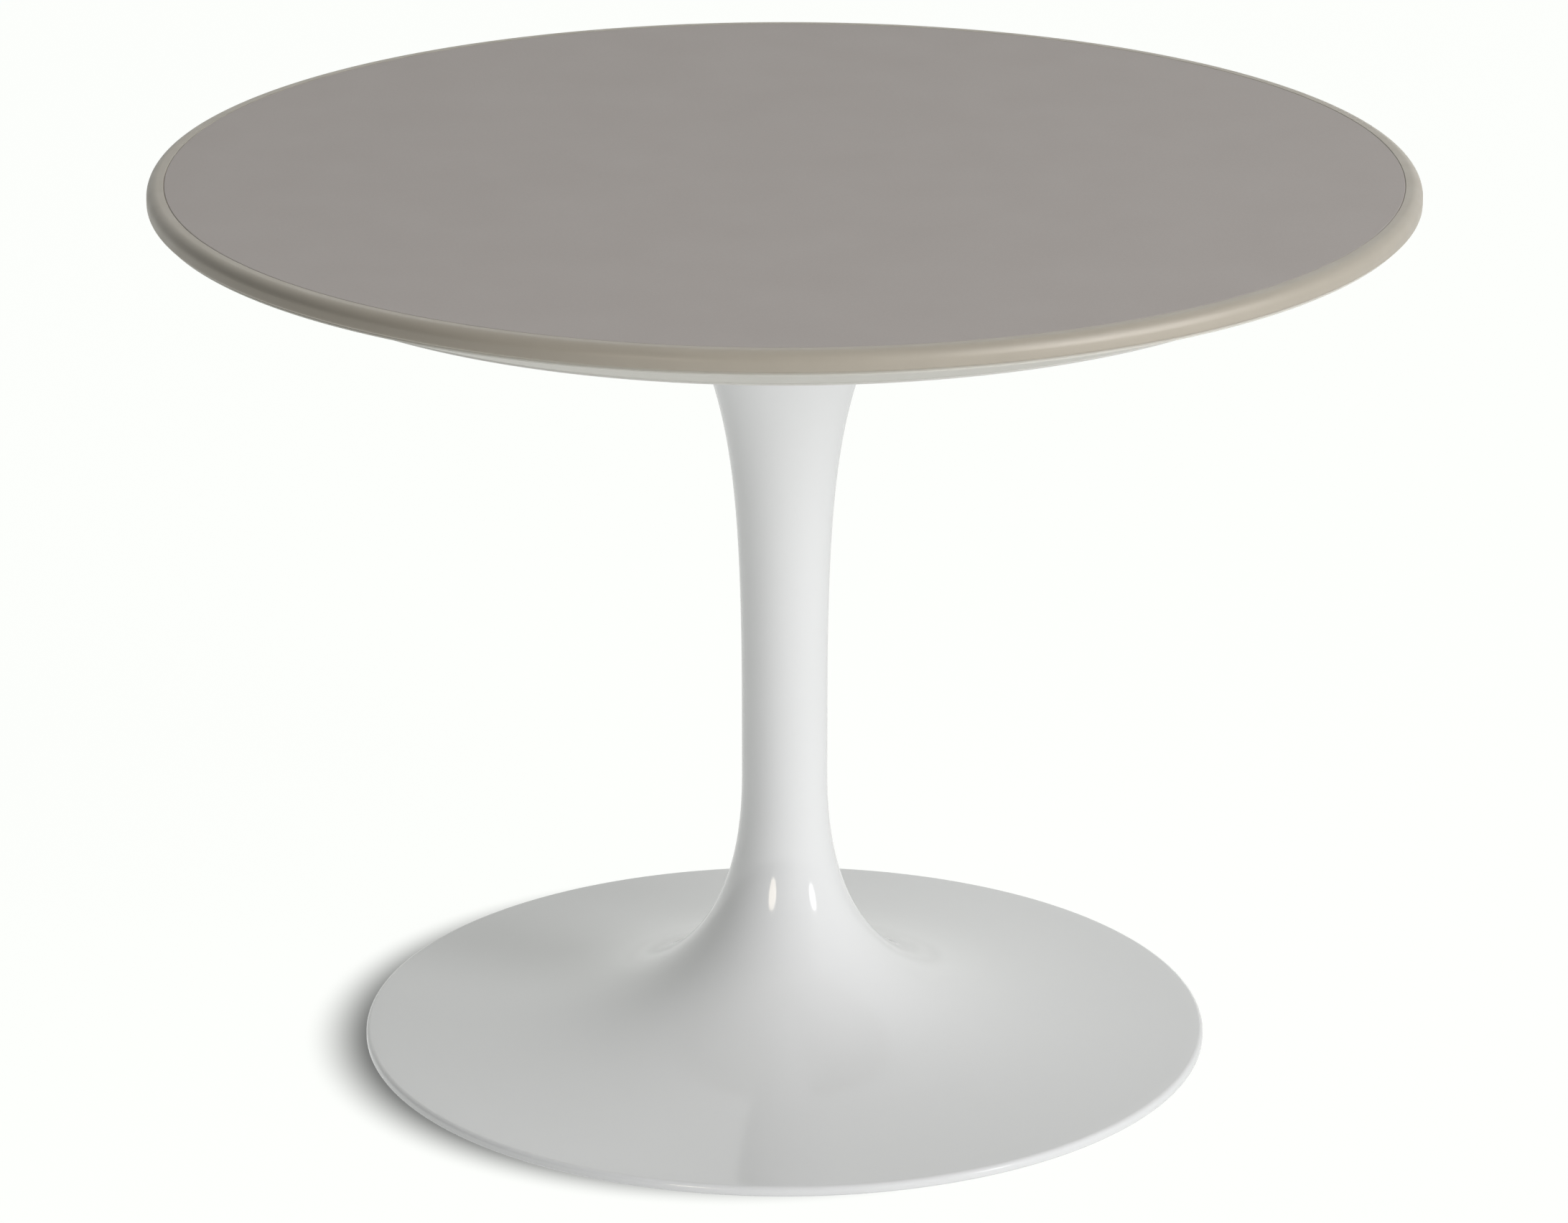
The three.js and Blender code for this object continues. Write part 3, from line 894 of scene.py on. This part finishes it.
ballast_low, ballast_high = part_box("ballast_ring")
clamp_low, clamp_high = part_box("clamp_plate")
clamp_well = clamp_high.x + HOLE_PLAY
ledge = clamp_high.z + CLOSE_FIT
ballast_outside = [
    p
    for p in sweep(*flare_curve, 120, depth=BALLAST_SEAT)
    if p[0] < ballast_high.x and p[1] < ballast_high.z - BALLAST_CORNER
]
ballast_profile = (
    [(clamp_well + BALLAST_BREAK, ballast_low.z)]
    + quarter(
        (ballast_high.x - BALLAST_BREAK, ballast_low.z + BALLAST_BREAK), BALLAST_BREAK, -90, 0, 5
    )
    + ballast_outside[::2]
    + [(ballast_outside[-1][0] - BALLAST_BREAK, ballast_high.z)]
    + [(BALLAST_BORE + BALLAST_BREAK, ballast_high.z), (BALLAST_BORE, ballast_high.z - BALLAST_BREAK)]
    + [(BALLAST_BORE, ledge), (clamp_well, ledge), (clamp_well, ballast_low.z + BALLAST_BREAK)]
)
cover_screw_low, cover_screw_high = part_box("cover_screw_1")
cover_middle = (cover_screw_low + cover_screw_high) / 2
cover_circle = math.hypot(cover_middle.x, cover_middle.y)


def cover_screw_hole():
    return countersink(
        COVER_SCREW_HEAD + HOLE_PLAY,
        COVER_SCREW_SHANK + HOLE_PLAY,
        cover_screw_low.z,
        cover_screw_high.z + HOLE_PLAY,
    )


ballast = turned_piece("cast_iron_weight", ballast_profile, primed_cast_iron(), sides=192)
ballast = drilled(ballast, cover_screw_hole(), COVER_SCREWS, cover_circle)
hand_over(ballast, "cast_iron", "ballast_ring")

# ---------------------------------------------------------------- clamp plate and washers
# A thick steel disc bears up on a ledge in the weight. A flat washer and a split spring washer
# under it keep the nut from working loose.

TURNED_ROUND = 0.0006
PUNCHED_BREAK = 0.0001
LOCK_TURN = 0.96

clamp_profile = flat_ring(clamp_low, clamp_high, rod_bore, TURNED_ROUND, TURNED_ROUND)
clamp_disc = turned_piece("clamp_disc", clamp_profile, zinc, sides=128)
hand_over(clamp_disc, "zinc_steel", "clamp_plate")

washer_low, washer_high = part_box("clamp_washer")
washer_profile = flat_ring(
    washer_low, washer_high, rod_bore, TURNED_ROUND, PUNCHED_BREAK, PUNCHED_BREAK
)
washer = turned_piece("flat_washer", washer_profile, zinc, sides=96)
hand_over(washer, "zinc_steel", "clamp_washer")


def coil_washer_tree():
    """One open turn of square wire."""
    tree, given = new_tree(
        "coil_washer", Mean_Radius="Float", Wire_Width="Float", Wire_Height="Float", Turn="Float"
    )
    coil = put(
        tree,
        "GeometryNodeCurveSpiral",
        {
            "Resolution": 64,
            "Rotations": given["Turn"],
            "Start Radius": given["Mean Radius"],
            "End Radius": given["Mean Radius"],
            "Height": 0.0,
        },
    )
    upright = put(
        tree, "GeometryNodeSetCurveNormal", {"Curve": coil.outputs[0]}, mode="Z_UP"
    )
    wire = put(
        tree,
        "GeometryNodeCurvePrimitiveQuadrilateral",
        {"Width": given["Wire Width"], "Height": given["Wire Height"]},
    )
    body = put(
        tree,
        "GeometryNodeCurveToMesh",
        {"Curve": upright.outputs[0], "Profile Curve": wire.outputs[0], "Fill Caps": True},
    )
    end_tree(tree, body.outputs[0], given)
    return tree


lock_low, lock_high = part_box("spring_washer")
lock_outer = lock_high.y
spring_washer = run_tree(
    "split_washer",
    bpy.data.meshes.new("coil_seed"),
    coil_washer_tree(),
    zinc,
    32.0,
    Mean_Radius=(lock_outer + rod_bore) / 2,
    Wire_Width=lock_outer - rod_bore,
    Wire_Height=lock_high.z - lock_low.z,
    Turn=LOCK_TURN,
)
spring_washer.data.transform(Matrix.Translation((0.0, 0.0, (lock_high.z + lock_low.z) / 2)))
hand_over(spring_washer, "zinc_steel", "spring_washer")

# ---------------------------------------------------------------- clamp nut
# An ordinary hexagon nut. Both its faces are turned, which takes the corners off, and its bore is
# chamfered.

NUT_FACE = 0.96
NUT_CHAMFER = 30.0
NUT_BORE_BREAK = 0.0008

nut_low, nut_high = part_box("clamp_nut")
nut_flats = 2 * nut_high.x
nut_corner = nut_high.y
chamfer_radius = NUT_FACE * nut_flats / 2
chamfer_height = (nut_corner - chamfer_radius) * math.tan(math.radians(NUT_CHAMFER))
nut_profile = [
    (rod_bore + NUT_BORE_BREAK, nut_low.z),
    (chamfer_radius, nut_low.z),
    (nut_corner, nut_low.z + chamfer_height),
    (nut_corner, nut_high.z - chamfer_height),
    (chamfer_radius, nut_high.z),
    (rod_bore + NUT_BORE_BREAK, nut_high.z),
    (rod_bore, nut_high.z - NUT_BORE_BREAK),
    (rod_bore, nut_low.z + NUT_BORE_BREAK),
]


def flat_cutter(distance, low, high):
    """A block whose inner face is `distance` out along X."""
    cutter = bpy.data.meshes.new("flat_cutter")
    block = bmesh.new()
    bmesh.ops.create_cube(block, size=1.0)
    bmesh.ops.scale(block, vec=(distance, 4 * distance, high - low), verts=block.verts)
    bmesh.ops.translate(block, vec=(1.5 * distance, 0.0, (high + low) / 2), verts=block.verts)
    block.to_mesh(cutter)
    block.free()
    tool = bpy.data.objects.new("flat_cutter", cutter)
    bpy.context.scene.collection.objects.link(tool)
    return tool


nut = turned_piece("hexagon_nut", nut_profile, zinc, sides=96)
nut_cutter = flat_cutter(nut_flats / 2, nut_low.z - OVERCUT, nut_high.z + OVERCUT)
nut = drilled(nut, nut_cutter, 6, first=0.0, crisp=20.0)
hand_over(nut, "zinc_steel", "clamp_nut")

# ---------------------------------------------------------------- base cover
# A disc of black plastic sheet with a pebbled face closes the hollow under the base. It hides the
# weight and the nut.


def pebbled_plastic():
    material, tree, shader = new_finish("pebbled_black_plastic", IOR=1.5)
    vary_colour(tree, shader, mottle(tree, 50.0, 3.0), (0.021, 0.021, 0.022, 1.0), 0.12)
    vary_roughness(tree, shader, mottle(tree, 240.0), 0.45, 0.6)
    place = put(tree, "ShaderNodeTexCoord").outputs["Object"]
    pebbles = put(
        tree, "ShaderNodeTexVoronoi", {"Vector": place, "Scale": 650.0}, feature="SMOOTH_F1"
    )
    emboss(tree, shader, [(pebbles.outputs["Distance"], 0.0004)])
    return material


cover_low, cover_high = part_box("base_cover")
cover_profile = [
    (0.0, cover_low.z),
    (cover_high.x - SHEET_BREAK, cover_low.z),
    (cover_high.x, cover_low.z + SHEET_BREAK),
    (cover_high.x, cover_high.z),
    (0.0, cover_high.z),
]
cover = turned_piece("pebbled_cover", cover_profile, pebbled_plastic(), sides=192)
cover = drilled(cover, cover_screw_hole(), COVER_SCREWS, cover_circle)
hand_over(cover, "black_plastic", "base_cover")

# ---------------------------------------------------------------- cover screws
# Four short countersunk machine screws hold the cover to the weight.

COVER_SCREW_PITCH = 0.0007
COVER_SCREW_THREAD = 0.0004
COVER_SCREW_NECK = 0.0026
COVER_SCREW_END = 0.0005
COVER_SCREW_SOCKET = 0.0025
COVER_SOCKET_DEPTH = 0.0013

cover_screw_profile = (
    countersunk_head(COVER_SCREW_HEAD, COVER_SCREW_SHANK, cover_screw_low.z)
    + threaded(
        COVER_SCREW_SHANK,
        cover_screw_low.z + COVER_SCREW_NECK,
        cover_screw_high.z - COVER_SCREW_END,
        COVER_SCREW_PITCH,
        COVER_SCREW_THREAD,
        6,
    )
    + [(COVER_SCREW_SHANK - COVER_SCREW_THREAD, cover_screw_high.z), (0.0, cover_screw_high.z)]
)
cover_screw = turned_piece(
    "machine_screw", cover_screw_profile, zinc, sides=24, pitch=COVER_SCREW_PITCH
)
cover_socket = hexagon_socket(COVER_SCREW_SOCKET, cover_screw_low.z, COVER_SOCKET_DEPTH)
cover_screw = drilled(cover_screw, cover_socket)
cover_screws = ring_of("cover_screw_set", cover_screw, COVER_SCREWS, cover_circle)
hand_over(cover_screws, "zinc_steel", *[f"cover_screw_{i + 1}" for i in range(COVER_SCREWS)])

# ---------------------------------------------------------------- floor and light
# A white floor in a pale room, brightest at the back. Three broad soft lights hang on the
# right and a weak one on the left, and lamps that only show in reflections put the glints on the
# lacquer and the sheen on the rim. The floor glows: it carries a painted shadow beside the base, on
# the left, and the light it throws back holds a painted pool of light round the table and painted
# shade close to the base.

FLOOR_SIZE = 16.0
FLOOR_WHITE = (0.985, 1.0, 0.975, 1.0)
FLOOR_LIT = 0.975
FLOOR_CATCH = 0.05
FLOOR_DIFFUSE = 0.28
# The painted pool of light round the table and the painted shade by the base, in the floor's glow.
POOL_BRIGHTNESS = 0.74
POOL_EDGE_BRIGHTNESS = 0.26
POOL_INNER = 0.3
POOL_OUTER = 1.4
CONTACT_WIDTH = 0.05
CONTACT_DIM = 0.5
MIRRORED_FLOOR = 0.7
# The painted shadow on the floor: a blurred disc a little to the left of the base.
SHADE_CENTRE = (-0.024, -0.002, 0.0)
SHADE_RADIUS = 0.194
SHADE_BLUR = 0.0195
SHADE_DEPTH = 0.87
BRIGHT_WALL = (-0.5, 0.866, 0.0)
WALL_BRIGHTNESS = 1.08
LAMP_DISTANCE = 5.0
LAMP_AIM = 0.12
WHITE = (1.0, 1.0, 1.0)
WARM_WHITE = (1.0, 0.9, 0.75)
MIRRORED_WALL = (0.67, 0.74, 0.0)
MIRRORED_START = -1.0
MIRRORED_BRIGHTNESS = 1.1

floor_mesh = bpy.data.meshes.new("floor")
half = FLOOR_SIZE / 2
floor_mesh.from_pydata(
    [(-half, -half, 0.0), (half, -half, 0.0), (half, half, 0.0), (-half, half, 0.0)],
    [],
    [(0, 1, 2, 3)],
)
floor = bpy.data.objects.new("floor", floor_mesh)
bpy.context.scene.collection.objects.link(floor)
floor_paint, floor_tree, floor_shader = new_finish("white_floor", Roughness=0.9)
floor_shader.inputs["Specular IOR Level"].default_value = 0.0
looked_at = put(floor_tree, "ShaderNodeLightPath").outputs
floor_place = put(floor_tree, "ShaderNodeTexCoord").outputs["Object"]
# Painted shadow: the glow the camera sees is darkened in a soft blurred disc just left of the base.
from_shade = put(
    floor_tree, "ShaderNodeVectorMath", {0: floor_place, 1: SHADE_CENTRE}, operation="DISTANCE"
)
glow_with_painted_shadow = put(
    floor_tree,
    "ShaderNodeMapRange",
    {
        "Value": from_shade.outputs["Value"],
        "From Min": SHADE_RADIUS - SHADE_BLUR,
        "From Max": SHADE_RADIUS + SHADE_BLUR,
        "To Min": FLOOR_LIT - SHADE_DEPTH,
        "To Max": FLOOR_LIT,
    },
    interpolation_type="SMOOTHSTEP",
).outputs[0]
from_centre = put(floor_tree, "ShaderNodeVectorMath", {0: floor_place}, operation="LENGTH")
# Painted pool of light: the glow that other rays see is brightest round the table and fades outwards.
painted_light_pool = put(
    floor_tree,
    "ShaderNodeMapRange",
    {
        "Value": from_centre.outputs["Value"],
        "From Min": POOL_INNER,
        "From Max": POOL_OUTER,
        "To Min": POOL_BRIGHTNESS,
        "To Max": POOL_EDGE_BRIGHTNESS,
    },
    interpolation_type="SMOOTHSTEP",
).outputs[0]
# Painted shade: that glow is dimmed to half at the base's rim and recovers over a few centimetres.
painted_contact_shade = put(
    floor_tree,
    "ShaderNodeMapRange",
    {
        "Value": from_centre.outputs["Value"],
        "From Min": base_radius,
        "From Max": base_radius + CONTACT_WIDTH,
        "To Min": CONTACT_DIM,
    },
).outputs[0]
bounce = maths(floor_tree, "MULTIPLY", painted_light_pool, painted_contact_shade)
unseen = put(floor_tree, "ShaderNodeMix", {2: bounce, 3: MIRRORED_FLOOR}, data_type="FLOAT")
glow = put(floor_tree, "ShaderNodeMix", {2: unseen.outputs[0], 3: glow_with_painted_shadow}, data_type="FLOAT")
catch = put(floor_tree, "ShaderNodeMix", {2: FLOOR_DIFFUSE, 3: FLOOR_CATCH}, data_type="FLOAT")
floor_tree.links.new(looked_at["Is Glossy Ray"], unseen.inputs["Factor"])
floor_tree.links.new(looked_at["Is Camera Ray"], glow.inputs["Factor"])
floor_tree.links.new(looked_at["Is Camera Ray"], catch.inputs["Factor"])
floor_tree.links.new(glow.outputs[0], floor_shader.inputs["Emission Strength"])
floor_tree.links.new(catch.outputs[0], floor_shader.inputs["Base Color"])
floor_shader.inputs["Emission Color"].default_value = FLOOR_WHITE
floor_mesh.materials.append(floor_paint)

world = bpy.data.worlds.new("pale_room")
bpy.context.scene.world = world
world.use_nodes = True
room = world.node_tree
direction = put(room, "ShaderNodeTexCoord").outputs["Generated"]
path = put(room, "ShaderNodeLightPath").outputs


def wall(towards, start, brightest):
    """Brightness of the room, which grows from nothing at `start` to the wall in a direction."""
    across = put(room, "ShaderNodeVectorMath", {0: direction, 1: towards}, operation="DOT_PRODUCT")
    feeds = {"Value": across.outputs["Value"], "From Min": start, "To Max": brightest}
    return put(room, "ShaderNodeMapRange", feeds).outputs[0]


thrown = wall(BRIGHT_WALL, 0.0, WALL_BRIGHTNESS)
mirrored = wall(MIRRORED_WALL, MIRRORED_START, MIRRORED_BRIGHTNESS)
indoors = put(room, "ShaderNodeMix", {2: thrown, 3: mirrored}, data_type="FLOAT")
seen = put(room, "ShaderNodeMix", {2: indoors.outputs[0], 3: 1.0}, data_type="FLOAT")
room.links.new(path["Is Glossy Ray"], indoors.inputs["Factor"])
room.links.new(path["Is Camera Ray"], seen.inputs["Factor"])
background = room.nodes["Background"]
background.inputs["Color"].default_value = FLOOR_WHITE
room.links.new(seen.outputs[0], background.inputs["Strength"])


def soft_light(
    name, heading, elevation, size, radiance, mirrored_only=False, colour=WHITE, only_on=None
):
    """A round lamp facing the stem, `heading` degrees to the right of the front. It shows in the
    colours or in the reflections, and the camera doesn't see it."""
    turn = math.radians(heading)
    rise = math.radians(elevation)
    light = bpy.data.lights.new(name, "AREA")
    light.shape = "DISK"
    light.size = size
    light.energy = radiance * math.pi * math.pi * size * size / 4
    light.color = colour
    lamp = bpy.data.objects.new(name, light)
    bpy.context.scene.collection.objects.link(lamp)
    lamp.location = (
        LAMP_DISTANCE * math.cos(rise) * math.sin(turn),
        -LAMP_DISTANCE * math.cos(rise) * math.cos(turn),
        LAMP_AIM + LAMP_DISTANCE * math.sin(rise),
    )
    lamp.rotation_euler = (math.pi / 2 - rise, 0.0, turn)
    lamp.visible_camera = False
    lamp.visible_glossy = mirrored_only
    lamp.visible_diffuse = not mirrored_only
    if only_on:
        receivers = bpy.data.collections.new(name + "_receivers")
        for piece in only_on:
            receivers.objects.link(piece)
        lamp.light_linking.receiver_collection = receivers


soft_light("low_front_light", heading=30.0, elevation=8.0, size=2.0, radiance=10.7)
soft_light("side_light", heading=55.0, elevation=26.0, size=2.0, radiance=7.3)
soft_light("high_side_light", heading=60.0, elevation=48.0, size=2.0, radiance=4.7)
soft_light("left_fill", heading=-75.0, elevation=8.0, size=2.0, radiance=1.6, only_on=[casting])
soft_light("right_glint", heading=55.5, elevation=11.0, size=1.0, radiance=9.0, mirrored_only=True)
soft_light(
    "left_glint",
    heading=-23.8,
    elevation=12.3,
    size=1.25,
    radiance=8.0,
    mirrored_only=True,
    colour=WARM_WHITE,
)
soft_light(
    "rim_sheen",
    heading=60.0,
    elevation=22.0,
    size=5.0,
    radiance=3.4,
    mirrored_only=True,
    only_on=[rim, board],
)

bpy.context.scene.view_settings.view_transform = "Standard"
